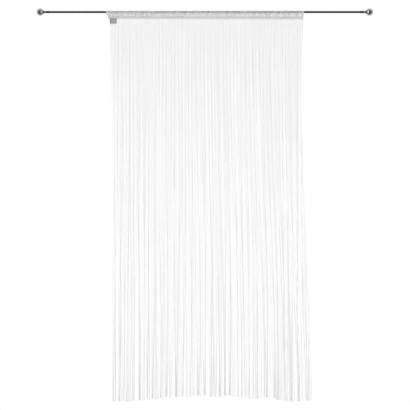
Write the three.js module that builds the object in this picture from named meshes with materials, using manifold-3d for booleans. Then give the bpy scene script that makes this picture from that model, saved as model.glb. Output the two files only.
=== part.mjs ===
// String curtain, 100 x 200 cm, hanging by its rod pocket from a slim steel rod with ball finials.
// Millimetres, +Z up. The origin is on the rod's axis, midway between the finials, and the front
// faces -Y. Every string is a closed three-sided strand that grows out of one narrow woven strip.
import * as THREE from "three";
import { mergeVertices } from "three/addons/utils/BufferGeometryUtils.js";
import Module from "manifold-3d";

// Rod and finials
const ROD_RADIUS = 5;
const ROD_LENGTH = 1620;
const ROD_SIDES = 24;
const FIT_GAP = 0.3;
const BALL_RADIUS = 18.4;
const BALL_CENTRE = 842;
const NECK_RADIUS = 4.6;
const NECK_FLARE = 818.5;
const FLARE_RADIUS = 9;
const COLLAR_RADIUS = 6;
const COLLAR_MOUTH = 795;
const COLLAR_END = 813;
const COLLAR_ROUNDING = 0.8;
const FINIAL_SEGMENTS = 28;
const BALL_STEPS = 12;

// Rod pocket, a woven tape folded over the rod and sewn to itself below it
const CLOTH = 1.1;
const POCKET_LEFT = -504;
const POCKET_LEFT_FOOT = -498;
const POCKET_RIGHT = 506;
const POCKET_FOOT = -25;
const POCKET_SEAM = -12.5;
const POCKET_SHOULDER = -18;
const POCKET_STEPS = 28;
const POCKET_ARC_STEPS = 10;

// The tape below the rod isn't drawn quite flat: its waves along X, in depth.
const TAPE_WAVES = [
  { depth: 1.1, length: 340, start: 0.6 },
  { depth: 0.5, length: 127, start: 2 },
];
const TAPE_DROOP = 1 / 420;

// Strip that holds the strings
const STRIP_HEIGHT = 9.7;
const STRIP_THICKNESS = 2.6;
const STRIP_LEFT = -494;
const STRIP_RIGHT = 505;
const STRIP_STEPS = 40;

// Strings
const STRING_RADIUS = 1;
const STRING_SIDES = 3;
const STRING_ROWS = 3;
const ROW_SPACING = 2.2;
const ROW_UNEVENNESS = 0.1;
const ROOT_DEPTH = 3;
const LONGEST_FOOT = -2000;
const MIDDLE_LIFT = 28;
const LIFT_CENTRE = 25;
const LIFT_HALF_WIDTH = 520;
const LOCK_UNEVENNESS = 12;
const CUT_UNEVENNESS = 6;

// How the strings lie at six heights below the strip. drop: share of a string's length.
// left, right: the outermost strings. apart: depth between the three rows in which they settle.
// gathered: 0 where they are spaced evenly, 1 where they have drifted into broad gatherings.
// locked: 1 where they hold together in the small locks of the hem. rippled: how strongly they
// draw together and part between. sway: how far one strays.
const LAY = [
  { drop: 0, left: -486, right: 504, apart: 0.3, gathered: 0, locked: 0, rippled: 0, sway: 0.3 },
  { drop: 0.1, left: -478, right: 496, apart: 0.9, gathered: 0, locked: 0, rippled: 0.3, sway: 0.5 },
  { drop: 0.32, left: -468, right: 500, apart: 2.1, gathered: 0.25, locked: 0, rippled: 0.6, sway: 0.8 },
  { drop: 0.58, left: -469, right: 519, apart: 2.6, gathered: 0.7, locked: 0.2, rippled: 1.4, sway: 0.8 },
  { drop: 0.79, left: -472, right: 537, apart: 2.8, gathered: 0.95, locked: 0.6, rippled: 1.5, sway: 0.7 },
  { drop: 1, left: -478, right: 551, apart: 2.8, gathered: 1, locked: 1, rippled: 0, sway: 0 },
];
const GATHER_REACH = 14;
const SWAY_TURNS = 0.9;

// The inner strings are spaced evenly between these places, and the outer ones flare out from
// them to the edges of the lay.
const INNER_LEFT = -475;
const INNER_RIGHT = 500;
const FLARE_POWER = 6;

// Light ripples across the curtain, in which strings draw together. Each comes and goes with
// the height, turns times in all.
const RIPPLES = [
  { length: 21, reach: 1.2, start: 0.7, turns: 0.7, turnStart: 0.9 },
  { length: 25, reach: 1.6, start: 0.35, turns: 0.6, turnStart: 0.1 },
  { length: 27, reach: 1.4, start: 0.55, turns: 0.8, turnStart: 0.2 },
  { length: 30, reach: 1.8, start: 0.85, turns: 0.55, turnStart: 0.6 },
  { length: 37, reach: 1.8, start: 0.3, turns: 0.45, turnStart: 0.45 },
  { length: 45, reach: 1.2, start: 0.05, turns: 0.5, turnStart: 0.75 },
];

// Slow waves in depth across the curtain, full at the hem. waves: how many fit its width.
const BILLOWS = [
  { depth: 6, waves: 3.7, turn: 0.35 },
  { depth: 2, waves: 8.3, turn: -0.5 },
];

// The locks that the strings form at the hem, from left to right: where each begins and ends.
const LOCKS = [
  { from: -475, to: -454, strings: 8 },
  { from: -441, to: -433, strings: 8 },
  { from: -428, to: -411, strings: 6 },
  { from: -404, to: -381, strings: 9 },
  { from: -372, to: -360, strings: 8 },
  { from: -338, to: -328, strings: 10 },
  { from: -319, to: -306, strings: 4 },
  { from: -297, to: -291, strings: 6 },
  { from: -285, to: -280, strings: 3 },
  { from: -271, to: -264, strings: 6 },
  { from: -258, to: -236, strings: 7 },
  { from: -229, to: -223, strings: 5 },
  { from: -221, to: -211, strings: 3 },
  { from: -203, to: -192, strings: 7 },
  { from: -181, to: -171, strings: 5 },
  { from: -152, to: -142, strings: 10 },
  { from: -139, to: -129, strings: 3 },
  { from: -120, to: -109, strings: 6 },
  { from: -97, to: -89, strings: 4 },
  { from: -78, to: -71, strings: 5 },
  { from: -63, to: -54, strings: 4 },
  { from: -40, to: -28, strings: 8 },
  { from: -22, to: -15, strings: 2 },
  { from: -6, to: 5, strings: 7 },
  { from: 26, to: 40, strings: 8 },
  { from: 43, to: 49, strings: 2 },
  { from: 50, to: 58, strings: 5 },
  { from: 72, to: 83, strings: 8 },
  { from: 98, to: 108, strings: 7 },
  { from: 124, to: 133, strings: 7 },
  { from: 140, to: 156, strings: 5 },
  { from: 166, to: 174, strings: 5 },
  { from: 184, to: 194, strings: 5 },
  { from: 201, to: 211, strings: 4 },
  { from: 213, to: 224, strings: 3 },
  { from: 226, to: 232, strings: 4 },
  { from: 242, to: 250, strings: 4 },
  { from: 258, to: 274, strings: 8 },
  { from: 283, to: 290, strings: 3 },
  { from: 302, to: 307, strings: 4 },
  { from: 314, to: 322, strings: 8 },
  { from: 332, to: 339, strings: 2 },
  { from: 351, to: 361, strings: 6 },
  { from: 364, to: 381, strings: 8 },
  { from: 384, to: 392, strings: 4 },
  { from: 401, to: 410, strings: 4 },
  { from: 414, to: 423, strings: 6 },
  { from: 431, to: 437, strings: 3 },
  { from: 440, to: 448, strings: 7 },
  { from: 452, to: 459, strings: 2 },
  { from: 475, to: 486, strings: 9 },
  { from: 495, to: 503, strings: 3 },
  { from: 516, to: 528, strings: 7 },
  { from: 530, to: 547, strings: 5 },
];
const STRING_LOCKS = LOCKS.flatMap((lock, number) => Array(lock.strings).fill(number));
const STRING_COUNT = STRING_LOCKS.length;

// Sewn label
const LABEL_LEFT = -485.6;
const LABEL_WIDTH = 35.6;
const LABEL_TOP = -30.9;
const LABEL_LENGTH = 29.8;
const LABEL_GAP = 0.5;
const LABEL_THICKNESS = 1;
const LABEL_CURL = 2.4;
const LABEL_STEPS = 8;
const LABEL_STEPS_ACROSS = 4;

const steel = new THREE.MeshStandardMaterial({ color: 0x77797c, roughness: 0.25, metalness: 1 });
const tape = new THREE.MeshStandardMaterial({ color: 0xf0f0ee, roughness: 0.85, metalness: 0 });
const yarn = new THREE.MeshStandardMaterial({ color: 0xf4f4f2, roughness: 0.75, metalness: 0 });
const satin = new THREE.MeshStandardMaterial({ color: 0xaaaaab, roughness: 0.6, metalness: 0 });

const wasm = await Module();
wasm.setup();

// A repeatable value from 0 to 1 for a string and a purpose.
function chance(index, purpose) {
  const wave = Math.sin(index * 127.1 + purpose * 311.7) * 43758.5453;
  return wave - Math.floor(wave);
}

function smooth(share) {
  const t = THREE.MathUtils.clamp(share, 0, 1);
  return t * t * (3 - 2 * t);
}

function tapeWave(x) {
  const depths = TAPE_WAVES.map((wave) => {
    return wave.depth * Math.sin((2 * Math.PI * x) / wave.length + wave.start);
  });
  return depths.reduce((sum, depth) => sum + depth, 0);
}

// The tape hangs a little lower to the right.
function tapeDroop(x) {
  return -TAPE_DROOP * x;
}

// The pocket's left end is drawn in towards its foot.
function pocketLeft(z) {
  return THREE.MathUtils.lerp(POCKET_LEFT, POCKET_LEFT_FOOT, smooth(z / POCKET_FOOT));
}

function reshape(geometry, move) {
  const position = geometry.attributes.position;
  const point = new THREE.Vector3();
  for (let i = 0; i < position.count; i++) {
    point.fromBufferAttribute(position, i);
    move(point);
    position.setXYZ(i, point.x, point.y, point.z);
  }
  return geometry;
}

function toSolid(geometry) {
  const bare = geometry.clone();
  bare.deleteAttribute("normal");
  bare.deleteAttribute("uv");
  const merged = mergeVertices(bare, 1e-3);
  return new wasm.Manifold(
    new wasm.Mesh({
      numProp: 3,
      vertProperties: merged.attributes.position.array,
      triVerts: new Uint32Array(merged.index.array),
    }),
  );
}

function toGeometry(solid) {
  const { numProp, vertProperties, triVerts } = solid.getMesh();
  const position = new Float32Array((vertProperties.length / numProp) * 3);
  for (let i = 0; i < position.length / 3; i++) {
    position.set(vertProperties.subarray(i * numProp, i * numProp + 3), i * 3);
  }
  const geometry = new THREE.BufferGeometry();
  geometry.setAttribute("position", new THREE.BufferAttribute(position, 3));
  geometry.setIndex(new THREE.BufferAttribute(triVerts, 1));
  geometry.computeVertexNormals();
  return geometry;
}

function named(name, geometry, material) {
  const mesh = new THREE.Mesh(geometry, material);
  mesh.name = name;
  return mesh;
}

function rodTube() {
  const geometry = new THREE.CylinderGeometry(ROD_RADIUS, ROD_RADIUS, ROD_LENGTH, ROD_SIDES);
  geometry.rotateZ(Math.PI / 2);
  return named("rod_tube", geometry, steel);
}

// A finial's outline as radius against distance from the middle of the rod: a blind socket that
// takes the rod's end, a collar, a neck that flares out and a ball.
function finialOutline() {
  const socket = ROD_RADIUS + FIT_GAP;
  const socketEnd = ROD_LENGTH / 2 + FIT_GAP;
  const ballStart = Math.PI - Math.asin(FLARE_RADIUS / BALL_RADIUS);
  const points = [
    new THREE.Vector2(0, socketEnd),
    new THREE.Vector2(socket, socketEnd),
    new THREE.Vector2(socket, COLLAR_MOUTH),
    new THREE.Vector2(COLLAR_RADIUS - COLLAR_ROUNDING / 2, COLLAR_MOUTH),
    new THREE.Vector2(COLLAR_RADIUS, COLLAR_MOUTH + COLLAR_ROUNDING),
    new THREE.Vector2(COLLAR_RADIUS, COLLAR_END - COLLAR_ROUNDING),
    new THREE.Vector2(COLLAR_RADIUS - COLLAR_ROUNDING, COLLAR_END),
    new THREE.Vector2(NECK_RADIUS, COLLAR_END + COLLAR_ROUNDING),
    new THREE.Vector2(NECK_RADIUS, NECK_FLARE),
  ];
  for (let step = 0; step < BALL_STEPS; step++) {
    const angle = ballStart * (1 - step / BALL_STEPS);
    points.push(
      new THREE.Vector2(BALL_RADIUS * Math.sin(angle), BALL_CENTRE + BALL_RADIUS * Math.cos(angle)),
    );
  }
  points.push(new THREE.Vector2(0, BALL_CENTRE + BALL_RADIUS));
  return points;
}

function finial(name, side) {
  const geometry = new THREE.LatheGeometry(finialOutline(), FINIAL_SEGMENTS);
  geometry.rotateZ((-side * Math.PI) / 2);
  return named(name, geometry, steel);
}

// The folded tape's section across the rod, in depth and height: round over the rod, then two
// layers that meet at the seam and hang together to the foot.
function pocketSection() {
  const inner = ROD_RADIUS + FIT_GAP;
  const outer = inner + CLOTH;
  const shoulder = THREE.MathUtils.degToRad(POCKET_SHOULDER);
  const section = new THREE.Shape();
  section.moveTo(-CLOTH, POCKET_FOOT);
  section.lineTo(CLOTH, POCKET_FOOT);
  section.lineTo(CLOTH, POCKET_SEAM - CLOTH);
  section.absarc(0, 0, outer, shoulder, Math.PI - shoulder, false);
  section.lineTo(-CLOTH, POCKET_SEAM - CLOTH);
  section.closePath();
  const tunnel = new THREE.Path();
  tunnel.moveTo(0, POCKET_SEAM);
  tunnel.lineTo(inner * Math.cos(shoulder), inner * Math.sin(shoulder));
  tunnel.absarc(0, 0, inner, shoulder, Math.PI - shoulder, false);
  tunnel.closePath();
  section.holes.push(tunnel);
  return section;
}

function rodPocket() {
  const length = POCKET_RIGHT - POCKET_LEFT;
  const geometry = new THREE.ExtrudeGeometry(pocketSection(), {
    depth: length,
    steps: POCKET_STEPS,
    bevelEnabled: false,
    curveSegments: POCKET_ARC_STEPS,
  });
  reshape(geometry, (p) => {
    const [depth, height, along] = [p.x, p.y, p.z];
    const x = POCKET_RIGHT - (1 - along / length) * (POCKET_RIGHT - pocketLeft(height));
    const hanging = smooth((-ROD_RADIUS - height) / (-ROD_RADIUS - POCKET_SEAM));
    p.set(x, depth + hanging * tapeWave(x), height + hanging * tapeDroop(x));
  });
  return named("rod_pocket", geometry, tape);
}

function stringStrip() {
  const length = STRIP_RIGHT - STRIP_LEFT;
  const middle = POCKET_FOOT - FIT_GAP - STRIP_HEIGHT / 2;
  const geometry = new THREE.BoxGeometry(length, STRIP_THICKNESS, STRIP_HEIGHT, STRIP_STEPS, 1, 1);
  geometry.translate((STRIP_LEFT + STRIP_RIGHT) / 2, 0, middle);
  return reshape(geometry, (p) => {
    p.y += tapeWave(p.x);
    p.z += tapeDroop(p.x);
  });
}

// Strings of one row never come closer than ROW_SPACING.
function spaced(places) {
  const clear = [];
  for (const place of places) {
    clear.push(Math.max(place, (clear.at(-STRING_ROWS) ?? -Infinity) + ROW_SPACING));
  }
  return clear;
}

// Each string's place at the hem.
function hemPlaces() {
  return spaced(
    LOCKS.flatMap((lock) => {
      const step = (lock.to - lock.from) / (lock.strings - 1);
      return Array.from({ length: lock.strings }, (_, i) => lock.from + step * i);
    }),
  );
}

// A string's evenly spaced place.
function evenPlace(index, row) {
  const share = (index + 0.5) / STRING_COUNT;
  const left = (row.left - INNER_LEFT) * (1 - share) ** FLARE_POWER;
  const right = (row.right - INNER_RIGHT) * share ** FLARE_POWER;
  return THREE.MathUtils.lerp(INNER_LEFT, INNER_RIGHT, share) + left + right;
}

// How far each string ends from its even place: the drift of its gathering, and the rest of
// the way into its lock.
function stringDrifts() {
  const drifts = hemPlaces().map((hem, index) => hem - evenPlace(index, LAY.at(-1)));
  return drifts.map((drift, index) => {
    const near = drifts.slice(Math.max(0, index - GATHER_REACH), index + GATHER_REACH + 1);
    const gathering = near.reduce((sum, value) => sum + value, 0) / near.length;
    return { gathering, lock: drift - gathering };
  });
}

function ripple(x, drop) {
  const ways = RIPPLES.map((r) => {
    const wave = Math.sin(2 * Math.PI * (x / r.length + r.start));
    return r.reach * wave * Math.cos(2 * Math.PI * (r.turns * drop + r.turnStart));
  });
  return ways.reduce((sum, way) => sum + way, 0);
}

// All the strings' places at one row of the lay table, in order, so that none crosses another.
function stringPlaces(drifts, row) {
  const places = drifts.map(({ gathering, lock }, index) => {
    const even = evenPlace(index, row);
    const turn = 2 * Math.PI * (chance(index, 5) + SWAY_TURNS * row.drop);
    const stray = row.sway * (0.5 + chance(index, 7)) * Math.sin(turn);
    const drift = row.gathered * gathering + row.locked * lock;
    return even + drift + row.rippled * ripple(even, row.drop) + stray;
  });
  return spaced(places.sort((one, other) => one - other));
}

function billow(share, drop) {
  const depths = BILLOWS.map((b) => b.depth * Math.sin(2 * Math.PI * (b.waves * share + b.turn * drop)));
  return depths.reduce((sum, depth) => sum + depth, 0);
}

// The hem is cut a little higher in the middle than at the sides.
function hemHeight(x) {
  const middleness = smooth(1 - Math.abs(x - LIFT_CENTRE) / LIFT_HALF_WIDTH);
  return LONGEST_FOOT + middleness * MIDDLE_LIFT;
}

// How far above the hem's line a string is cut: with its lock, and a little by itself.
function stringCut(index) {
  return LOCK_UNEVENNESS * chance(STRING_LOCKS[index], 9) + CUT_UNEVENNESS * chance(index, 3);
}

// The middle of a string at one row of the lay table, and x across the curtain.
function stringPoint(index, x, row) {
  const unevenness = ROW_UNEVENNESS * (chance(index, 2) - 0.5);
  const lane = (index % STRING_ROWS) - (STRING_ROWS - 1) / 2 + unevenness;
  const share = (x - row.left) / (row.right - row.left);
  const settled = THREE.MathUtils.lerp(tapeWave(x), billow(share, row.drop), row.drop);
  const root = POCKET_FOOT - FIT_GAP - STRIP_HEIGHT + tapeDroop(x);
  const end = hemHeight(x) + stringCut(index);
  return new THREE.Vector3(x, settled + lane * row.apart, THREE.MathUtils.lerp(root, end, row.drop));
}

// A string through its points of the lay table, rooted inside the strip.
function stringSolid(index, places) {
  const rings = LAY.map((row, level) => stringPoint(index, places[level][index], row));
  rings[0].z += ROOT_DEPTH;
  const spans = rings.length - 1;
  const turn = 2 * Math.PI * chance(index, 4);
  const geometry = new THREE.CylinderGeometry(
    STRING_RADIUS, STRING_RADIUS, spans, STRING_SIDES, spans, false, turn,
  );
  geometry.rotateX(Math.PI / 2);
  reshape(geometry, (p) => {
    const ring = rings[Math.round(spans / 2 - p.z)];
    p.set(ring.x + p.x, ring.y + p.y, ring.z);
  });
  return toSolid(geometry);
}

function stringFringe() {
  const drifts = stringDrifts();
  const places = LAY.map((row) => stringPlaces(drifts, row));
  const strands = drifts.map((_, index) => stringSolid(index, places));
  const fringe = wasm.Manifold.union([toSolid(stringStrip()), ...strands]);
  return named("string_fringe", toGeometry(fringe), yarn);
}

function sewnLabel() {
  const geometry = new THREE.BoxGeometry(
    LABEL_WIDTH, LABEL_THICKNESS, LABEL_LENGTH, LABEL_STEPS_ACROSS, 1, LABEL_STEPS,
  );
  geometry.translate(LABEL_LEFT + LABEL_WIDTH / 2, 0, LABEL_TOP - LABEL_LENGTH / 2);
  reshape(geometry, (p) => {
    const hang = smooth((LABEL_TOP - p.z) / LABEL_LENGTH);
    const face = STRIP_THICKNESS / 2 + LABEL_GAP + LABEL_THICKNESS / 2;
    p.y += tapeWave(p.x) - face - LABEL_CURL * hang;
  });
  return named("sewn_label", geometry, satin);
}

const curtain = new THREE.Group();
curtain.add(rodTube(), finial("finial_left", -1), finial("finial_right", 1));
curtain.add(rodPocket(), stringFringe(), sewnLabel());

export default curtain;
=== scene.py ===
"""String curtain on a slim metal rod, dressed for a studio picture.

The curtain is one sheer woven band, folded over the rod into a pocket, and three hundred strings
that run down through the band's foot and hang free. Sizes are written in millimetres, as a maker
would give them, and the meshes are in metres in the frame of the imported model: the origin is on
the rod's axis midway between the finials, +Z is up and the front faces -Y.
"""

import logging
import math
from bisect import bisect_right
from collections.abc import Callable, Iterable, Sequence
from dataclasses import astuple, dataclass
from enum import Enum
from itertools import accumulate
from typing import Any

import bmesh
import bpy
from mathutils import Matrix, Vector


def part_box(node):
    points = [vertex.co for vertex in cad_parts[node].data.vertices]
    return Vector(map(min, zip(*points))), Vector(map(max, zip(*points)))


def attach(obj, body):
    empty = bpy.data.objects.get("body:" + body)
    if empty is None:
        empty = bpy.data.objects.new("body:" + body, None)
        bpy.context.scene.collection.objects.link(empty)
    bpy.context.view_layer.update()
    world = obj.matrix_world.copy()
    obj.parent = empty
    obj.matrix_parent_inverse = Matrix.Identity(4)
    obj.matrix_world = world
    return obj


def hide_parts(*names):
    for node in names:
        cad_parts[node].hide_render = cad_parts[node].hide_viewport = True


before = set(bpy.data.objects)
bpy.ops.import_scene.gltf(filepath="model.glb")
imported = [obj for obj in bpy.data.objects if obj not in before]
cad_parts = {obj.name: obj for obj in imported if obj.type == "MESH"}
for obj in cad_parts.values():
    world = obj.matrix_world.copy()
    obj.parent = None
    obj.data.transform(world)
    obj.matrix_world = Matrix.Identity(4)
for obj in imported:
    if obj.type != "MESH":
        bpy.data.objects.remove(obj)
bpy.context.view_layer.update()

LOG = logging.getLogger("string_curtain")
MM = 0.001
TAU = 2 * math.pi
WAVE_SCALE = TAU / 20  # a Wave texture of this scale repeats once in every unit
INDEX_STRIDE, USE_STRIDE = 127.1, 311.7  # how far neighbouring numbers stand apart in the sine
SINE_SPREAD = 43758.5453  # large enough that the sine's last digits decide the value
STITCH_FILL = 0.88  # a stitch's length, as a share of the way from one needle hole to the next
STITCH_SWELL = 1.1  # a stitch's thickness, as a share of the thread's


class Side(Enum):
    """The two ends of the rod."""

    LEFT = -1
    RIGHT = 1


class Row(Enum):
    """The three rows in depth in which the strings settle."""

    FRONT = 0
    MIDDLE = 1
    BACK = 2


class Polish(Enum):
    """Which way the polishing wheel ran over a metal piece."""

    ALONG = "along the rod"
    AROUND = "around the rod"


class Corner(Enum):
    """What a rounding runs over, by Blender's names."""

    EDGE = "EDGES"
    POINT = "VERTICES"


class LampKind(Enum):
    """The two kinds of studio lamp, by Blender's names."""

    SOFT_BOX = "AREA"
    SUN = "SUN"


class Chance(Enum):
    """What a repeatable value of a string, or of a lock of strings, is used for."""

    LANE = 2
    STRING_CUT = 3
    SWAY_START = 5
    SWAY_REACH = 7
    LOCK_CUT = 9

    def of(self, index: int) -> float:
        """Gives the value, which looks random but is the same in every run.

        Args:
            index: The string's or the lock's number, from the left.

        Returns:
            A value from 0 to 1.
        """
        wave = math.sin(index * INDEX_STRIDE + self.value * USE_STRIDE) * SINE_SPREAD
        return wave - math.floor(wave)


def smooth(share: float) -> float:
    """Eases a share in and out, and holds it between 0 and 1."""
    held = min(max(share, 0.0), 1.0)
    return held * held * (3 - 2 * held)


def mix(start: float, end: float, share: float) -> float:
    """Goes from start to end by a share."""
    return start + (end - start) * share


def linear(hex_code: str) -> tuple[float, float, float, float]:
    """Turns an sRGB hex colour into the linear colour that a shader takes.

    Args:
        hex_code: The colour as "#rrggbb".

    Returns:
        Red, green, blue and a full alpha.
    """
    parts = [int(hex_code[i : i + 2], 16) / 255 for i in (1, 3, 5)]
    red, green, blue = (c / 12.92 if c <= 0.04045 else ((c + 0.055) / 1.055) ** 2.4 for c in parts)
    return red, green, blue, 1.0


def add_node(
    tree: bpy.types.NodeTree,
    kind: str,
    inputs: dict[str | int, Any] | None = None,
    **settings: Any,
) -> bpy.types.Node:
    """Adds a node with its links and settings.

    Args:
        tree: The node tree that takes it.
        kind: The node's type, such as "ShaderNodeMath".
        inputs: For each socket, by name or number, its value, or the node or output that feeds it.
        **settings: The node's own properties.

    Returns:
        The new node.
    """
    node = tree.nodes.new(kind)
    for name, value in settings.items():
        setattr(node, name, value)
    for name, value in (inputs or {}).items():
        if isinstance(value, bpy.types.Node):
            value = next(output for output in value.outputs if output.enabled)
        if isinstance(value, bpy.types.NodeSocket):
            tree.links.new(value, node.inputs[name])
        else:
            node.inputs[name].default_value = value
    return node


# Finishes


class Finish:
    """What all finishes share: each makes one material, from the inputs of its one shader."""

    name: str

    def surface(self, tree: bpy.types.NodeTree) -> dict[str, Any]:
        """Adds the nodes that draw the finish.

        Args:
            tree: The material's node tree.

        Returns:
            The shader's inputs.
        """
        raise NotImplementedError

    def material(self) -> bpy.types.Material:
        """Makes the material, named for the finish.

        Returns:
            The material.
        """
        material = bpy.data.materials.new(self.name)
        material.use_nodes = True
        tree = material.node_tree
        tree.nodes.clear()
        shader = add_node(tree, "ShaderNodeBsdfPrincipled", self.surface(tree))
        add_node(tree, "ShaderNodeOutputMaterial", {"Surface": shader})
        return material


@dataclass(frozen=True)
class NickelPlate(Finish):
    """Polished dark nickel plating on steel tube and turned finials.

    It mirrors the room darkly, with sharp highlights. The wheel left lines about a tenth of a
    millimetre apart: they are drawn eight times as coarse, and very shallow, so that they show. The
    balls are plated bright, in two colours from line to line; the collars and necks keep the darker
    colour, which is painted shade.
    """

    name: str
    polish: Polish
    colour: str
    roughness: float
    edge_tint: str
    ball_colours: tuple[str, str] | None = None
    ball_start: float = 827.0
    ball_fade: float = 6.0
    line_spacing: float = 0.8
    line_length: float = 60.0
    line_depth: float = 0.002

    def surface(self, tree: bpy.types.NodeTree) -> dict[str, Any]:
        """Draws the plating, with polishing lines that run the way of the wheel.

        Args:
            tree: The material's node tree.

        Returns:
            The shader's inputs.
        """
        place = add_node(tree, "ShaderNodeTexCoord").outputs["Object"]
        fine, slow = 1 / (self.line_spacing * MM), 1 / (self.line_length * MM)
        scale = (slow, fine, fine) if self.polish is Polish.ALONG else (fine, slow, slow)
        drawn_out = add_node(tree, "ShaderNodeMapping", {"Vector": place, "Scale": scale})
        lines = add_node(
            tree, "ShaderNodeTexNoise", {"Vector": drawn_out, "Scale": 1.0, "Detail": 3.0}
        )
        colour: Any = linear(self.colour)
        if self.ball_colours:
            bright, worn = (linear(shade) for shade in self.ball_colours)
            polished = add_node(
                tree, "ShaderNodeMix", {"Factor": lines, "A": bright, "B": worn}, data_type="RGBA"
            )
            along = add_node(tree, "ShaderNodeSeparateXYZ", {0: place}).outputs["X"]
            outward = add_node(tree, "ShaderNodeMath", {0: along}, operation="ABSOLUTE")
            # The collars and necks keep the darker colour, which is painted shade; from ball_start out
            # the balls take the bright plating.
            reach = {
                "Value": outward,
                "From Min": (self.ball_start - self.ball_fade / 2) * MM,
                "From Max": (self.ball_start + self.ball_fade / 2) * MM,
            }
            outside_painted_shade = add_node(tree, "ShaderNodeMapRange", reach)
            colours = {"Factor": outside_painted_shade, "A": colour, "B": polished}
            colour = add_node(tree, "ShaderNodeMix", colours, data_type="RGBA")
        relief = {"Height": lines, "Strength": 0.25, "Distance": self.line_depth * MM}
        return {
            "Base Color": colour,
            "Metallic": 1.0,
            "Roughness": self.roughness,
            "Specular Tint": linear(self.edge_tint),
            "Normal": add_node(tree, "ShaderNodeBump", relief),
        }


@dataclass(frozen=True)
class SheerCloth(Finish):
    """Sheer plain-woven polyester: fine threads with gaps, so that the rod shows through a layer.

    Its UV map is the flat cloth in metres, along the band and across it. length is the band's, and
    hem the width of its end hems. The real gaps are about half a millimetre: they are drawn three
    times as coarse, the finest that a close view shows.
    """

    length: float
    hem: float
    name: str = "polyester_sheer_plain_weave"
    # Greyer than the strings' yarn, and greyer still in the gaps: painted shade of the weave.
    colour: str = "#d1d1d1"
    gap_shade_colour: str = "#c6c6c6"
    pitch: float = 1.5
    gap_openness: float = 0.6
    thread_openness: float = 0.34
    left_openness: float = 0.96
    right_openness: float = 1.18
    pucker: float = 11.0
    pucker_stretch: float = 4.0
    pucker_contrast: float = 0.8
    pucker_floor: float = 0.6
    hem_openness: float = 0.6
    hem_fade: float = 0.6

    def surface(self, tree: bpy.types.NodeTree) -> dict[str, Any]:
        """Draws the cloth, sheerer to the right and less sheer in its end hems.

        Args:
            tree: The material's node tree.

        Returns:
            The shader's inputs.
        """
        flat = add_node(tree, "ShaderNodeUVMap", uv_map="flat")
        scale = WAVE_SCALE / (self.pitch * MM)
        warp, weft = (
            add_node(
                tree, "ShaderNodeTexWave", {"Vector": flat, "Scale": scale}, bands_direction=axis
            ).outputs["Fac"]
            for axis in ("X", "Y")
        )
        crossing = add_node(tree, "ShaderNodeMath", {0: warp, 1: weft}, operation="MULTIPLY")
        gap = add_node(tree, "ShaderNodeMath", {0: crossing}, operation="SQRT")
        weave = {0: gap, 1: self.gap_openness, 2: self.thread_openness}
        open_weave = add_node(tree, "ShaderNodeMath", weave, operation="MULTIPLY_ADD")
        uneven = self.unevenness(tree, flat)
        sheer = add_node(tree, "ShaderNodeMath", {0: uneven, 1: open_weave}, operation="MULTIPLY")
        single = self.single_layer(tree, flat)
        through = add_node(tree, "ShaderNodeMath", {0: sheer, 1: single}, operation="MULTIPLY")
        alpha = add_node(tree, "ShaderNodeMath", {0: 1.0, 1: through}, operation="SUBTRACT")

        # The gaps between the threads take the darker colour: painted shade.
        colours = {"Factor": gap, "A": linear(self.colour), "B": linear(self.gap_shade_colour)}
        colour = add_node(tree, "ShaderNodeMix", colours, data_type="RGBA")
        relief = {"Height": gap, "Strength": 0.4, "Distance": 0.2 * MM}
        return {
            "Base Color": colour,
            "Roughness": 0.8,
            "Sheen Weight": 0.1,
            "Alpha": alpha,
            "Normal": add_node(tree, "ShaderNodeBump", relief, invert=True),
        }

    def unevenness(self, tree: bpy.types.NodeTree, flat: bpy.types.Node) -> bpy.types.Node:
        """Draws the weave more open to the right, and unevenly, in upright puckers.

        Args:
            tree: The material's node tree.
            flat: The node that gives the place on the flat cloth.

        Returns:
            The node that gives how many times as open the weave is.
        """
        along = add_node(tree, "ShaderNodeSeparateXYZ", {0: flat}).outputs["X"]
        stretch = {
            "Value": along,
            "From Max": self.length * MM,
            "To Min": self.left_openness,
            "To Max": self.right_openness,
        }
        stretched = add_node(tree, "ShaderNodeMapRange", stretch)
        size = 1 / (self.pucker * MM)
        scale = (size, size / self.pucker_stretch, 1)
        upright = add_node(tree, "ShaderNodeMapping", {"Vector": flat, "Scale": scale})
        puckers = add_node(
            tree, "ShaderNodeTexNoise", {"Vector": upright, "Scale": 1.0, "Detail": 2.0}
        )
        contrast = {0: puckers, 1: self.pucker_contrast, 2: self.pucker_floor}
        drawn = add_node(tree, "ShaderNodeMath", contrast, operation="MULTIPLY_ADD")
        return add_node(tree, "ShaderNodeMath", {0: stretched, 1: drawn}, operation="MULTIPLY")

    def single_layer(self, tree: bpy.types.NodeTree, flat: bpy.types.Node) -> bpy.types.Node:
        """Tells the single cloth from the end hems, where it is turned in and less open.

        Args:
            tree: The material's node tree.
            flat: The node that gives the place on the flat cloth.

        Returns:
            The node that gives 1 in the single cloth and hem_openness in the hems.
        """
        along = add_node(tree, "ShaderNodeSeparateXYZ", {0: flat}).outputs["X"]
        from_end = {0: self.length * MM, 1: along}
        to_right = add_node(tree, "ShaderNodeMath", from_end, operation="SUBTRACT")
        to_end = add_node(tree, "ShaderNodeMath", {0: along, 1: to_right}, operation="MINIMUM")
        hem_step = {
            "Value": to_end,
            "From Min": (self.hem - self.hem_fade / 2) * MM,
            "From Max": (self.hem + self.hem_fade / 2) * MM,
            "To Min": self.hem_openness,
            "To Max": 1.0,
        }
        return add_node(tree, "ShaderNodeMapRange", hem_step)


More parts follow.
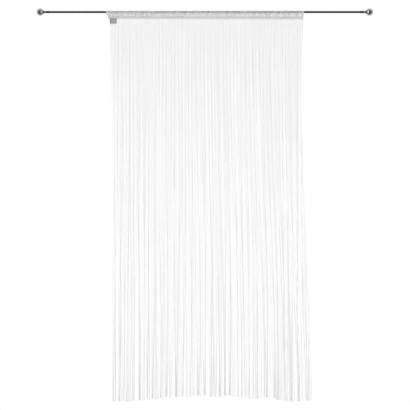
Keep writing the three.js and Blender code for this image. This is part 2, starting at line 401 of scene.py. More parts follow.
@dataclass(frozen=True)
class CloseWeave(Finish):
    """Close polyester weave of the band's foot: an off-white tape of fine level threads."""

    name: str = "polyester_close_weave"
    # Greyer than the strings' yarn: painted shade of the tape's relief.
    colour: str = "#d6d6d6"
    groove_shade_colour: str = "#bfbfbf"
    thread: float = 0.8

    def surface(self, tree: bpy.types.NodeTree) -> dict[str, Any]:
        """Draws the threads level, across the strings, with painted shade in the grooves between them.

        Args:
            tree: The material's node tree.

        Returns:
            The shader's inputs.
        """
        place = add_node(tree, "ShaderNodeTexCoord").outputs["Object"]
        scale = WAVE_SCALE / (self.thread * MM)
        thread = add_node(
            tree, "ShaderNodeTexWave", {"Vector": place, "Scale": scale}, bands_direction="Z"
        ).outputs["Fac"]
        # The grooves between the threads take the darker colour: painted shade.
        colours = {"Factor": thread, "A": linear(self.groove_shade_colour), "B": linear(self.colour)}
        colour = add_node(tree, "ShaderNodeMix", colours, data_type="RGBA")
        relief = {"Height": thread, "Strength": 0.5, "Distance": 0.15 * MM}
        return {
            "Base Color": colour,
            "Roughness": 0.85,
            "Sheen Weight": 0.1,
            "Normal": add_node(tree, "ShaderNodeBump", relief),
        }


@dataclass(frozen=True)
class TwistedYarn(Finish):
    """White polyester yarn of two plies, with a soft lustre.

    Its twist doesn't show. The grooves are meant to slant down the string, turns times, but its UV
    map runs along the string first and then around it. They stand around the string instead, too
    close to be told apart, so the yarn looks plain even in a close view.
    """

    turns: float
    name: str = "polyester_string_two_ply"
    colour: str = "#f1f1f1"
    groove_shade_colour: str = "#dadada"
    plies: int = 2
    roughness: float = 0.6

    def surface(self, tree: bpy.types.NodeTree) -> dict[str, Any]:
        """Draws the grooves from the UV map.

        Args:
            tree: The material's node tree.

        Returns:
            The shader's inputs.
        """
        wrapped = add_node(tree, "ShaderNodeUVMap", uv_map="UVMap")
        skew = (self.plies, self.turns, 0)
        slanted = add_node(tree, "ShaderNodeVectorMath", {0: wrapped, 1: skew}, operation="DOT_PRODUCT")
        slant = add_node(tree, "ShaderNodeCombineXYZ", {"X": slanted.outputs["Value"]})
        ply = add_node(
            tree, "ShaderNodeTexWave", {"Vector": slant, "Scale": WAVE_SCALE}
        ).outputs["Fac"]
        # The grooves between the plies take the darker colour: painted shade.
        colours = {"Factor": ply, "A": linear(self.groove_shade_colour), "B": linear(self.colour)}
        colour = add_node(tree, "ShaderNodeMix", colours, data_type="RGBA")
        relief = {"Height": ply, "Strength": 0.5, "Distance": 0.2 * MM}
        return {
            "Base Color": colour,
            "Roughness": self.roughness,
            "Sheen Weight": 0.15,
            "Normal": add_node(tree, "ShaderNodeBump", relief),
        }


@dataclass(frozen=True)
class SewingThread(Finish):
    """White polyester sewing thread: a soft lustre, and too thin for its twist to show."""

    name: str
    colour: str = "#dadada"
    roughness: float = 0.6

    def surface(self, tree: bpy.types.NodeTree) -> dict[str, Any]:
        """Gives the plain thread its colour and lustre.

        Args:
            tree: The material's node tree.

        Returns:
            The shader's inputs.
        """
        return {
            "Base Color": linear(self.colour),
            "Roughness": self.roughness,
            "Sheen Weight": 0.15,
        }


@dataclass(frozen=True)
class LabelSatin(Finish):
    """Grey satin ribbon, left bare: level floats with a soft sheen, and painted shade along its turned
    left edge.
    """

    name: str = "polyester_satin_ribbon"
    colour: str = "#a6a6a7"
    shade_colour: str = "#929293"
    edge_shade_colour: str = "#838385"
    float_width: float = 0.6
    edge_width: float = 5.5
    edge_fade: float = 2.0
    cloud: float = 14.0

    def surface(self, tree: bpy.types.NodeTree) -> dict[str, Any]:
        """Draws the ribbon, its UV map being the flat ribbon in metres.

        Args:
            tree: The material's node tree.

        Returns:
            The shader's inputs.
        """
        flat = add_node(tree, "ShaderNodeUVMap", uv_map="flat")
        scale = WAVE_SCALE / (self.float_width * MM)
        floats = add_node(
            tree, "ShaderNodeTexWave", {"Vector": flat, "Scale": scale}, bands_direction="Y"
        ).outputs["Fac"]
        clouds = add_node(
            tree, "ShaderNodeTexNoise", {"Vector": flat, "Scale": 1 / (self.cloud * MM), "Detail": 1.0}
        )
        colours = {"Factor": clouds, "A": linear(self.shade_colour), "B": linear(self.colour)}
        face = add_node(tree, "ShaderNodeMix", colours, data_type="RGBA")
        across = add_node(tree, "ShaderNodeSeparateXYZ", {0: flat}).outputs["X"]
        edge = {
            "Value": across,
            "From Min": (self.edge_width - self.edge_fade / 2) * MM,
            "From Max": (self.edge_width + self.edge_fade / 2) * MM,
        }
        inside = add_node(tree, "ShaderNodeMapRange", edge)
        # The turned left edge takes the darker colour: painted shade.
        colours = {"Factor": inside, "A": linear(self.edge_shade_colour), "B": face}
        colour = add_node(tree, "ShaderNodeMix", colours, data_type="RGBA")
        relief = {"Height": floats, "Strength": 0.4, "Distance": 0.08 * MM}
        return {
            "Base Color": colour,
            "Roughness": 0.5,
            "Sheen Weight": 0.2,
            "Normal": add_node(tree, "ShaderNodeBump", relief),
        }


@dataclass(frozen=True)
class StudioFloor(Finish):
    """White studio floor that glows evenly, so that no shadow or horizon shows on it."""

    name: str = "studio_floor_white"
    colour: str = "#ffffff"
    glow: float = 1.0

    def surface(self, tree: bpy.types.NodeTree) -> dict[str, Any]:
        """Gives the floor its even glow.

        Args:
            tree: The material's node tree.

        Returns:
            The shader's inputs.
        """
        return {
            "Base Color": linear("#000000"),
            "Roughness": 1.0,
            "Specular IOR Level": 0.0,
            "Emission Color": linear(self.colour),
            "Emission Strength": self.glow,
        }


# Making pieces


def finish_mesh(mesh: bpy.types.Mesh, name: str, material: bpy.types.Material) -> bpy.types.Object:
    """Puts a finished mesh into the scene as a smooth-shaded object at the origin.

    Args:
        mesh: The mesh, in metres, at its place.
        name: The piece's name.
        material: Its finish.

    Returns:
        The new object.
    """
    mesh.name = name
    mesh.materials.clear()
    mesh.materials.append(material)
    mesh.shade_smooth()
    piece = bpy.data.objects.new(name, mesh)
    bpy.context.scene.collection.objects.link(piece)
    return piece


def from_bmesh(bm: bmesh.types.BMesh, name: str, material: bpy.types.Material) -> bpy.types.Object:
    """Turns a bmesh into a piece and frees the bmesh.

    Args:
        bm: The bmesh, in metres, at its place.
        name: The piece's name.
        material: Its finish.

    Returns:
        The new object.
    """
    mesh = bpy.data.meshes.new(name)
    bm.to_mesh(mesh)
    bm.free()
    return finish_mesh(mesh, name, material)


def join_to_root(piece: bpy.types.Object, slot: str, *nodes: str) -> bpy.types.Object:
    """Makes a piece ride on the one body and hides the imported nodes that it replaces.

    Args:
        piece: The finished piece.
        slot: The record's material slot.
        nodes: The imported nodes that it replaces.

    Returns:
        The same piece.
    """
    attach(piece, "root")
    if nodes:
        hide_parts(*nodes)
    return piece


def round_off(
    bm: bmesh.types.BMesh, corners: Sequence[Any], offset: float, segments: int, kind: Corner
) -> None:
    """Rounds edges or corners with the bevel operator.

    Args:
        bm: The bmesh they belong to.
        corners: The edges or vertices.
        offset: How far from the corner the rounding starts, in millimetres.
        segments: How many steps it takes.
        kind: Whether the corners are edges or single points.
    """
    bmesh.ops.bevel(
        bm,
        geom=corners,
        offset=offset * MM,
        segments=segments,
        profile=0.5,
        affect=kind.value,
        material=-1,
    )


def cloth(
    name: str,
    cut: tuple[float, float],
    cells: tuple[int, int],
    hang: Callable[[float, float], Vector],
    thickness: float,
    material: bpy.types.Material,
) -> bpy.types.Object:
    """Cuts a rectangle of cloth, keeps its flat shape as its UV map and hangs it.

    Args:
        name: The piece's name.
        cut: The flat width and length in millimetres.
        cells: How many cells it has along and across.
        hang: Gives the hung place in millimetres for a place on the flat cloth.
        thickness: The cloth's thickness in millimetres.
        material: Its finish.

    Returns:
        The cloth, given its thickness by a Solidify modifier.
    """
    bm = bmesh.new()
    flat = bm.loops.layers.uv.new("flat")
    bmesh.ops.create_grid(bm, x_segments=cells[0], y_segments=cells[1], size=0.5)
    for vertex in bm.verts:
        vertex.co = Vector(((vertex.co.x + 0.5) * cut[0], (vertex.co.y + 0.5) * cut[1], 0))
    for face in bm.faces:
        for loop in face.loops:
            loop[flat].uv = loop.vert.co.xy * MM
    for vertex in bm.verts:
        vertex.co = hang(vertex.co.x, vertex.co.y) * MM
    piece = from_bmesh(bm, name, material)
    solidify = piece.modifiers.new("cloth_thickness", "SOLIDIFY")
    solidify.thickness = thickness * MM
    solidify.offset = 0
    return piece


def stitched(
    name: str, seams: Iterable[Sequence[Vector]], thread: float, material: bpy.types.Material
) -> bpy.types.Object:
    """Sews seams: one small bead of thread between each pair of points, STITCH_FILL of the way.

    Args:
        name: The piece's name.
        seams: For each seam its points, in millimetres.
        thread: The thread's thickness in millimetres.
        material: The thread's finish.

    Returns:
        All the stitches, joined in one piece.
    """
    bm = bmesh.new()
    for seam in seams:
        for start, end in zip(seam, seam[1:]):
            reach = end - start
            turn = reach.to_track_quat("X", "Z").to_matrix().to_4x4()
            half_length, half_width = STITCH_FILL / 2 * reach.length, STITCH_SWELL / 2 * thread
            size = Matrix.Diagonal((half_length, half_width, half_width, 1))
            place = Matrix.Translation((start + end) / 2) @ turn @ size
            bmesh.ops.create_uvsphere(
                bm, u_segments=6, v_segments=4, radius=1, matrix=Matrix.Scale(MM, 4) @ place
            )
    return from_bmesh(bm, name, material)


# The rod and its finials


@dataclass
class CurtainRod:
    """A slim tube with a ball finial pushed over each end."""

    sides: int = 64
    rim: float = 0.5
    ball_radius: float = 18.4
    ball_centre: float = 842.0
    ball_steps: int = 40
    neck_radius: float = 4.6
    flare_start: float = 818.5
    flare_radius: float = 9.0
    collar_radius: float = 6.0
    collar_mouth: float = 795.0
    collar_end: float = 813.0
    collar_rounding: float = 0.7
    socket_radius: float = 5.3
    socket_end: float = 810.3
    cove: float = 1.1
    flare_rounding: float = 2.4
    merge: float = 0.01

    def build(self) -> list[bpy.types.Object]:
        """Makes the tube and both finials.

        Returns:
            The three pieces.
        """
        drawn = NickelPlate(
            name="nickel_plate_drawn",
            polish=Polish.ALONG,
            # Darker than the balls' plating, in colour and edge tint: partly the tube's own satin
            # finish, and partly painted shade that dims its reflections.
            colour="#404246",
            roughness=0.22,
            edge_tint="#7c7c7c",
        )
        turned = NickelPlate(
            name="nickel_plate_turned",
            polish=Polish.AROUND,
            # The collars' and necks' colour: painted shade.
            colour="#58595c",
            roughness=0.12,
            edge_tint="#ffffff",
            ball_colours=("#b4b6b8", "#a9abad"),
        )
        pieces = [self.tube(drawn.material())]
        finial_finish = turned.material()
        pieces += [self.finial(side, finial_finish) for side in Side]
        return pieces

    def tube(self, material: bpy.types.Material) -> bpy.types.Object:
        """Makes the tube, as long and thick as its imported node.

        Args:
            material: Its finish.

        Returns:
            The tube.
        """
        low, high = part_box("rod_tube")
        bm = bmesh.new()
        bmesh.ops.create_cone(
            bm,
            cap_ends=True,
            segments=self.sides,
            radius1=high.z,
            radius2=high.z,
            depth=high.x - low.x,
            matrix=Matrix.Rotation(math.pi / 2, 4, "Y"),
        )
        rims = [edge for edge in bm.edges if abs(edge.verts[0].co.x - edge.verts[1].co.x) < MM]
        round_off(bm, rims, self.rim, segments=3, kind=Corner.EDGE)
        return join_to_root(from_bmesh(bm, "curtain_rod_tube", material), "polished_metal", "rod_tube")

    def finial(self, side: Side, material: bpy.types.Material) -> bpy.types.Object:
        """Turns one finial: a blind socket that takes the rod, a collar, a flared neck and a ball.

        Args:
            side: The rod's end that it goes on.
            material: Its finish.

        Returns:
            The finial.
        """
        flare_end = self.ball_centre - math.sqrt(self.ball_radius**2 - self.flare_radius**2)
        corners = (
            (self.socket_end, 0),
            (self.socket_end, self.socket_radius),
            (self.collar_mouth, self.socket_radius),
            (self.collar_mouth, self.collar_radius),
            (self.collar_end, self.collar_radius),
            (self.collar_end, self.neck_radius),
            (self.flare_start, self.neck_radius),
            (flare_end, self.flare_radius),
        )
        bm = bmesh.new()
        row = [bm.verts.new((along * MM, 0, out * MM)) for along, out in corners]
        for pair in zip(row, row[1:]):
            bm.edges.new(pair)
        bmesh.ops.spin(
            bm,
            geom=row[-1:],
            cent=(self.ball_centre * MM, 0, 0),
            axis=(0, 1, 0),
            angle=math.pi - math.asin(self.flare_radius / self.ball_radius),
            steps=self.ball_steps,
            use_merge=False,
        )
        round_off(bm, row[3:5], self.collar_rounding, segments=5, kind=Corner.POINT)
        round_off(bm, row[5:6], self.cove, segments=4, kind=Corner.POINT)
        round_off(bm, row[6:7], self.flare_rounding, segments=4, kind=Corner.POINT)
        bmesh.ops.spin(
            bm,
            geom=bm.verts[:] + bm.edges[:],
            cent=(0, 0, 0),
            axis=(1, 0, 0),
            angle=TAU,
            steps=self.sides,
            use_merge=True,
        )
        bmesh.ops.scale(bm, vec=(side.value, 1, 1), verts=bm.verts)
        bmesh.ops.remove_doubles(bm, verts=bm.verts, dist=self.merge * MM)
        bmesh.ops.recalc_face_normals(bm, faces=bm.faces)
        node = f"finial_{side.name.lower()}"
        piece = from_bmesh(bm, f"ball_{node}", material)
        return join_to_root(piece, "polished_metal", node)


# The woven band


@dataclass(frozen=True)
class TapeHang:
    """How the woven band hangs below the rod: its waves in depth, and its droop to the right.

    A wave is its depth and its length in millimetres, and the angle that it starts at.
    """

    waves: tuple[tuple[float, float, float], ...] = ((1.1, 340, 0.6), (0.5, 127, 2))
    droop: float = 1 / 420

    def wave(self, x: float) -> float:
        """Gives how far the band stands behind the rod's axis at x."""
        return sum(depth * math.sin(TAU * x / length + start) for depth, length, start in self.waves)

    def lift(self, x: float) -> float:
        """Gives how much higher the band hangs at x than in the middle."""
        return -self.droop * x


@dataclass(frozen=True)
class Crease:
    """A small upright ridge in the pocket, where the cloth has gathered on the rod."""

    x: float
    lean: float
    height: float
    width: float

    def at(self, x: float, z: float) -> float:
        """Gives how far the cloth stands out there."""
        return self.height * math.exp(-(((x - self.x + self.lean * z) / self.width) ** 2))


@dataclass
class RodPocket:
    """The sheer band folded over the rod, sewn to itself above the strings."""

    hang: TapeHang
    left: float = -505.0
    left_foot: float = -499.0
    right: float = 506.0
    radius: float = 5.85
    shoulder: float = -18.0
    seam: float = -14.0
    foot: float = -25.0
    layer: float = 1.3
    thickness: float = 0.6
    cell_along: float = 2.2
    cell_across: float = 1.8
    stitch: float = 3.2
    stitch_line: float = -24.0
    thread: float = 0.5
    hem: float = 9.0
    hem_stand: float = 0.25
    hem_stitch_inset: float = 2.0
    hang_start: float = -5.0
    hang_fade: float = 7.5
    rod_zone_start: float = -9.0
    rod_zone_fade: float = 8.0
    crease_foot_fade: float = 5.0
    slack_over_rod: float = 0.6
    slack_below_rod: float = 1.6
    room_over_rod: float = 0.5
    room_below_rod: float = 0.9
    creases: tuple[Crease, ...] = (
        Crease(-500, 0.1, 1.2, 3.6), Crease(-493, -0.2, 1.7, 4.3), Crease(-484, 0.15, 1.2, 4.3),
        Crease(-424, 0.2, 1, 7.2), Crease(-383, -0.1, 0.8, 5.8), Crease(-347, 0, 1.6, 5.1),
        Crease(-311, 0, 2, 5.1), Crease(-291, 0.1, 1.6, 4.3), Crease(-273, 0, -1.7, 5.1),
        Crease(-232, -0.2, 0.9, 8.7), Crease(-153, 0.05, 2.1, 5.8), Crease(-109, 0.1, -1.7, 5.1),
        Crease(-92, -0.1, 1, 5.8), Crease(-48, -0.2, 1.7, 5.8), Crease(-28, 0.2, -1.2, 5.1),
        Crease(21, -0.1, 1.4, 6.5), Crease(49, 0.2, -1.4, 5.8), Crease(84, 0.2, 0.9, 8.7),
        Crease(113, 0.1, 1.8, 5.1), Crease(129, -0.1, -1.8, 5.1), Crease(159, -0.1, 1.6, 5.8),
        Crease(188, -0.1, 1.2, 7.2), Crease(226, 0, 2.2, 5.1), Crease(243, 0.3, 1.2, 5.8),
        Crease(262, -0.2, 1.8, 5.1), Crease(290, 0.3, 1.2, 5.8), Crease(315, 0.1, 2, 6.5),
        Crease(342, -0.5, 2.2, 4.3), Crease(364, -0.2, -1.3, 5.8), Crease(382, -0.2, 2, 5.1),
        Crease(415, -0.4, 2.1, 7.2), Crease(443, -0.7, 2.2, 6.5), Crease(461, 0.2, -1.2, 5.8),
        Crease(478, 0.2, 2.1, 5.8), Crease(496, -0.2, -1.4, 5.1),
    )

    def slope(self) -> float:
        """Measures the straight stretch from the rod's side to the seam.

        Returns:
            Its length in millimetres.
        """
        reach = self.radius * math.cos(math.radians(self.shoulder)) - self.layer
        drop = self.radius * math.sin(math.radians(self.shoulder)) - self.seam
        return math.hypot(reach, drop)

    def half_round(self) -> float:
        """Gives the length of cloth from the rod's top to where it leaves the rod."""
        return self.radius * math.radians(90 - self.shoulder)

    def cut(self) -> tuple[float, float]:
        """Gives the flat size that the pocket is cut to, in millimetres."""
        return self.right - self.left, 2 * (self.half_round() + self.slope() + self.seam - self.foot)

    def section(self, along: float) -> tuple[float, float, float, float]:
        """Follows the fold across the rod.

        Args:
            along: The distance over the cloth from its front foot, in millimetres.

        Returns:
            Depth and height of the cloth there, and the way it faces, in depth and height.
        """
        from_top = along - self.cut()[1] / 2
        side, length = math.copysign(1, from_top), abs(from_top)
        if length <= self.half_round():
            angle = length / self.radius
            out = (side * math.sin(angle), math.cos(angle))
            return self.radius * out[0], self.radius * out[1], *out
        tip = math.radians(self.shoulder)
        start = (self.radius * math.cos(tip), self.radius * math.sin(tip))
        share = min((length - self.half_round()) / self.slope(), 1)
        below = max(length - self.half_round() - self.slope(), 0)
        depth = mix(start[0], self.layer, share)
        return side * depth, mix(start[1], self.seam, share) - below, side, 0.0

    def place(self, along_band: float, along_fold: float) -> Vector:
        """Hangs a point of the flat cloth.

        Args:
            along_band: Its distance from the left end, in millimetres.
            along_fold: Its distance from the front foot, in millimetres.

        Returns:
            Its place in millimetres.
        """
        depth, height, out_y, out_z = self.section(along_fold)
        left = mix(self.left, self.left_foot, smooth(height / self.foot))
        x = mix(left, self.right, along_band / self.cut()[0])
        hanging = smooth((self.hang_start - height) / self.hang_fade)
        above_foot = smooth((height - self.foot) / self.crease_foot_fade)
        ridge = sum(crease.at(x, height) for crease in self.creases) * above_foot
        over_rod = smooth((height - self.rod_zone_start) / self.rod_zone_fade)
        ridge *= mix(self.slack_below_rod, self.slack_over_rod, over_rod)
        ridge = max(ridge, -mix(self.room_below_rod, self.room_over_rod, over_rod))
        in_hem = min(along_band, self.cut()[0] - along_band) < self.hem
        stand = ridge + (self.hem_stand if in_hem else 0)
        return Vector(
            (
                x,
                depth + hanging * self.hang.wave(x) + stand * out_y,
                height + hanging * self.hang.lift(x) + stand * out_z,
            )
        )

    def build(self) -> tuple[bpy.types.Object, bpy.types.Object]:
        """Makes the folded cloth and its stitches.

        Returns:
            The cloth and the stitches.
        """
        width, length = self.cut()
        cells = (round(width / self.cell_along), round(length / self.cell_across))
        finish = SheerCloth(width, self.hem).material()
        pocket = cloth("rod_pocket_cloth", self.cut(), cells, self.place, self.thickness, finish)
        join_to_root(pocket, "sheer_tape", "rod_pocket")
        thread = SewingThread("polyester_sewing_thread").material()
        seams = stitched("pocket_stitches", self.seams(), self.thread, thread)
        join_to_root(seams, "white_string")
        return pocket, seams

    def seams(self) -> list[list[Vector]]:
        """Lays out the stitches: along the foot on both faces, and down both end hems.

        Returns:
            For each seam its points, in millimetres.
        """
        width, length = self.cut()
        lift = (self.thickness + self.thread) / 2
        seams = []
        count = round(width / self.stitch)
        for side in (-1, 1):
            from_foot = self.stitch_line - self.foot
            fold = from_foot if side < 0 else length - from_foot
            off = Vector((0, side * lift, 0))
            seams.append([self.place(width * i / count, fold) + off for i in range(count + 1)])
        steps = round(length / self.stitch)
        inset = self.hem - self.hem_stitch_inset
        for from_left in (inset, width - inset):
            seam = []
            for i in range(1, steps):
                fold = length * i / steps
                _, _, out_y, out_z = self.section(fold)
                seam.append(self.place(from_left, fold) + Vector((0, out_y, out_z)) * lift)
            seams.append(seam)
        return seams


@dataclass
class StringStrip:
    """The close-woven foot of the band, caught between the pocket's layers, with a rib a string."""

    hang: TapeHang
    left: float = -495.0
    right: float = 505.0
    top: float = -23.6
    foot: float = -36.4
    thickness: float = 1.8
    rib: float = 0.2
    first_rib: float = -486.0
    last_rib: float = 503.0
    ribs: int = 300
    cells_a_rib: int = 4
    rounding: float = 0.5

    def build(self) -> bpy.types.Object:
        """Makes the strip, with rounded edges.

        Returns:
            The strip.
        """
        bm = bmesh.new()
        bmesh.ops.create_cube(bm, size=1)
        long_edges = [e for e in bm.edges if abs(e.verts[0].co.x - e.verts[1].co.x) > 0.5]
        size = (self.right - self.left, self.thickness, self.top - self.foot)
        bmesh.ops.scale(bm, vec=Vector(size) * MM, verts=bm.verts)
        round_off(bm, long_edges, self.rounding, segments=3, kind=Corner.EDGE)
        long_edges = [e for e in bm.edges if abs(e.verts[0].co.x - e.verts[1].co.x) > MM]
        cuts = self.cells_a_rib * self.ribs - 1
        bmesh.ops.subdivide_edges(bm, edges=long_edges, cuts=cuts, use_grid_fill=True)
        for vertex in bm.verts:
            x = vertex.co.x / MM + (self.left + self.right) / 2
            share = (x - self.first_rib) / (self.last_rib - self.first_rib)
            swell = -self.rib * math.cos(TAU * self.ribs * share) if 0 <= share <= 1 else 0
            y = vertex.co.y / MM * (1 + 2 * swell / self.thickness) + self.hang.wave(x)
            z = vertex.co.z / MM + (self.top + self.foot) / 2 + self.hang.lift(x)
            vertex.co = Vector((x, y, z)) * MM
        piece = from_bmesh(bm, "string_strip", CloseWeave().material())
        return join_to_root(piece, "sheer_tape", "string_fringe")


# The strings


@dataclass(frozen=True)
class LayRow:
    """How the strings lie at one height.

    drop is the share of a string's length below the strip. left and right are the outermost
    strings, and apart is the depth between rows, in millimetres. gathered is 0 where the strings
    are spaced evenly and 1 where they have drifted into broad gatherings, locked is 1 where they
    hold together in the locks of the hem. rippled and finely_rippled tell how strongly they draw
    together and part between, and sway is how far one strays alone, in millimetres.
    """

    drop: float
    left: float
    right: float
    apart: float
    gathered: float
    locked: float
    rippled: float
    finely_rippled: float
    sway: float


@dataclass(frozen=True)
class Ripple:
    """A light drawing together of the strings, every length millimetres across the curtain.

    reach is how far it moves them. It comes and goes with the height, turns times in all.
    """

    length: float
    reach: float
    start: float
    turns: float
    turn_start: float

    def at(self, x: float, drop: float) -> float:
        """Gives how far it moves a string sideways."""
        wave = math.sin(TAU * (x / self.length + self.start))
        return self.reach * wave * math.cos(TAU * (self.turns * drop + self.turn_start))


@dataclass(frozen=True)
class Drift:
    """How far a string ends from even spacing: with its gathering, and on into its lock."""

    gathering: float
    lock: float


@dataclass
class StringFringe:
    """Three hundred strings that settle into three rows, gather, and lock together at the hem.

    A lock is where it begins and ends at the hem, in millimetres, and how many strings it has. A
    billow is its depth in millimetres, its waves across the curtain and its turns down it.
    """

    hang: TapeHang
    radius: float = 0.835
    points: int = 44
    row_spacing: float = 2.2
    row_unevenness: float = 0.1
    inner_left: float = -475.0
    inner_right: float = 500.0
    edge_flare: int = 6
    gather_reach: int = 14
    sway_turns: float = 0.9
    least_sway: float = 0.5
    top: float = -34.0
    root: float = -35.0
    longest_foot: float = -2000.0
    middle_lift: float = 28.0
    lift_centre: float = 25.0
    lift_half_width: float = 520.0
    lock_unevenness: float = 12.0
    cut_unevenness: float = 6.0
    twist_length: float = 9.0
    end_length: float = 5.0
    tip_length: float = 1.0
    end_swell: float = 1.12
    tip_swell: float = 0.75
    merge: float = 0.001
    lay: tuple[LayRow, ...] = (
        LayRow(0, -486, 504, 0.3, 0, 0, 0, 0.1, 0.8),
        LayRow(0.1, -481, 496, 0.9, 0, 0, 0.3, 0.8, 0.8),
        LayRow(0.21, -475, 491, 1.6, 0.1, 0, 0.5, 1, 0.8),
        LayRow(0.32, -472, 500, 2.1, 0.25, 0, 0.6, 1.1, 0.8),
        LayRow(0.47, -472, 507, 2.4, 0.5, 0.1, 1, 1.3, 0.8),
        LayRow(0.58, -472, 519, 2.6, 0.7, 0.2, 1.4, 1.5, 0.8),
        LayRow(0.68, -474, 527, 2.7, 0.85, 0.4, 1.6, 1.5, 0.8),
        LayRow(0.79, -474, 537, 2.8, 0.95, 0.6, 1.5, 1.5, 0.7),
        LayRow(0.89, -475, 545, 2.8, 1, 0.9, 1, 1, 0.5),
        LayRow(1, -478, 551, 2.8, 1, 1, 0, 0.2, 0.3),
    )
    ripples: tuple[Ripple, ...] = (
        Ripple(21, 1.2, 0.7, 0.7, 0.9),
        Ripple(25, 1.6, 0.35, 0.6, 0.1),
        Ripple(27, 1.4, 0.55, 0.8, 0.2),
        Ripple(30, 1.8, 0.85, 0.55, 0.6),
        Ripple(37, 1.8, 0.3, 0.45, 0.45),
        Ripple(45, 1.2, 0.05, 0.5, 0.75),
    )
    fine_ripples: tuple[Ripple, ...] = (
        Ripple(14.5, 0.9, 0.4, 0.9, 0.6),
        Ripple(16.5, 1.1, 0.15, 0.75, 0.3),
        Ripple(19, 1.2, 0.75, 0.65, 0.85),
    )
    billows: tuple[tuple[float, float, float], ...] = ((6, 3.7, 0.35), (2, 8.3, -0.5))
    locks: tuple[tuple[int, int, int], ...] = (
        (-475, -454, 8), (-441, -433, 8), (-428, -411, 6), (-404, -381, 9), (-372, -360, 8),
        (-338, -328, 10), (-319, -306, 4), (-297, -291, 6), (-285, -280, 3), (-271, -264, 6),
        (-258, -236, 7), (-229, -223, 5), (-221, -211, 3), (-203, -192, 7), (-181, -171, 5),
        (-152, -142, 10), (-139, -129, 3), (-120, -109, 6), (-97, -89, 4), (-78, -71, 5),
        (-63, -54, 4), (-40, -28, 8), (-22, -15, 2), (-6, 5, 7), (26, 40, 8), (43, 49, 2),
        (50, 58, 5), (72, 83, 8), (98, 108, 7), (124, 133, 7), (140, 156, 5), (166, 174, 5),
        (184, 194, 5), (201, 211, 4), (213, 224, 3), (226, 232, 4), (242, 250, 4), (258, 274, 8),
        (283, 290, 3), (302, 307, 4), (314, 322, 8), (332, 339, 2), (351, 361, 6), (364, 381, 8),
        (384, 392, 4), (401, 410, 4), (414, 423, 6), (431, 437, 3), (440, 448, 7), (452, 459, 2),
        (475, 486, 9), (495, 503, 3), (516, 528, 7), (530, 547, 5),
    )

    def spaced(self, places: Iterable[float]) -> list[float]:
        """Moves places on to the right as far as keeps the strings of one row apart.

        Args:
            places: All the strings' places, from left to right, in millimetres.

        Returns:
            The places that are clear of each other.
        """
        clear: list[float] = []
        for place in places:
            if len(clear) >= len(Row):
                place = max(place, clear[-len(Row)] + self.row_spacing)
            clear.append(place)
        return clear

    def even_place(self, share: float, row: LayRow) -> float:
        """Spaces the strings evenly, and flares the outer ones to the edges.

        Args:
            share: The string's share of the way from the left to the right.
            row: The lay at the height asked for.

        Returns:
            The string's place in millimetres.
        """
        left = (row.left - self.inner_left) * (1 - share) ** self.edge_flare
        right = (row.right - self.inner_right) * share**self.edge_flare
        return mix(self.inner_left, self.inner_right, share) + left + right

    def drifts(self) -> list[Drift]:
        """Finds each string's drift from its even place to its lock.

        Returns:
            The drifts, from left to right.
        """
        locked = self.spaced(
            mix(start, end, i / (strings - 1))
            for start, end, strings in self.locks
            for i in range(strings)
        )
        shares = [(index + 0.5) / len(locked) for index in range(len(locked))]
        ways = [x - self.even_place(share, self.lay[-1]) for x, share in zip(locked, shares)]
        drifts = []
        for index, way in enumerate(ways):
            near = ways[max(0, index - self.gather_reach) : index + self.gather_reach + 1]
            gathering = sum(near) / len(near)
            drifts.append(Drift(gathering, way - gathering))
        return drifts

    def places(self, row: LayRow, drifts: list[Drift]) -> list[float]:
        """Gives all the strings' places at one height, in order, so that none crosses another.

        Args:
            row: The lay at that height.
            drifts: Each string's drift.

        Returns:
            The places in millimetres, from left to right.
        """
        places = []
        for index, drift in enumerate(drifts):
            even = self.even_place((index + 0.5) / len(drifts), row)
            rippled = row.rippled * sum(ripple.at(even, row.drop) for ripple in self.ripples)
            fine = row.finely_rippled * sum(r.at(even, row.drop) for r in self.fine_ripples)
            turn = TAU * (Chance.SWAY_START.of(index) + self.sway_turns * row.drop)
            stray = row.sway * (self.least_sway + Chance.SWAY_REACH.of(index)) * math.sin(turn)
            drifted = even + row.gathered * drift.gathering + row.locked * drift.lock
            places.append(drifted + rippled + fine + stray)
        return self.spaced(sorted(places))

    def lay_at(self, drop: float) -> LayRow:
        """Finds the lay at any height, on a smooth curve through the rows of the table.

        Args:
            drop: The share of a string's length below the strip.

        Returns:
            The lay there.
        """
        rows = self.lay
        last = len(rows) - 2
        index = next((i for i in range(last) if drop < rows[i + 1].drop), last)
        before, after = astuple(rows[index]), astuple(rows[index + 1])
        outer_before = astuple(rows[max(index - 1, 0)])
        outer_after = astuple(rows[min(index + 2, len(rows) - 1)])
        span = after[0] - before[0]
        share = (drop - before[0]) / span
        values = []
        for above, start, end, below in zip(outer_before, before, after, outer_after):
            start_slope = (end - above) / (after[0] - outer_before[0]) * span
            end_slope = (below - start) / (outer_after[0] - before[0]) * span
            bend = (1 - share) ** 2 * share * start_slope - (1 - share) * share**2 * end_slope
            values.append(mix(start, end, smooth(share)) + bend)
        return LayRow(drop, *values[1:])

    def hem_height(self, x: float) -> float:
        """Gives the height of the cut hem, which is higher in the middle than at the sides."""
        middle = smooth(1 - abs(x - self.lift_centre) / self.lift_half_width)
        return self.longest_foot + middle * self.middle_lift

    def cut(self, index: int) -> float:
        """Gives how far above the hem's line a string is cut.

        Args:
            index: The string's number, from the left.

        Returns:
            The height in millimetres: most of it is its lock's, and a little is its own.
        """
        ends = list(accumulate(strings for _, _, strings in self.locks))
        lock = bisect_right(ends, index)
        own_cut = self.cut_unevenness * Chance.STRING_CUT.of(index)
        return self.lock_unevenness * Chance.LOCK_CUT.of(lock) + own_cut

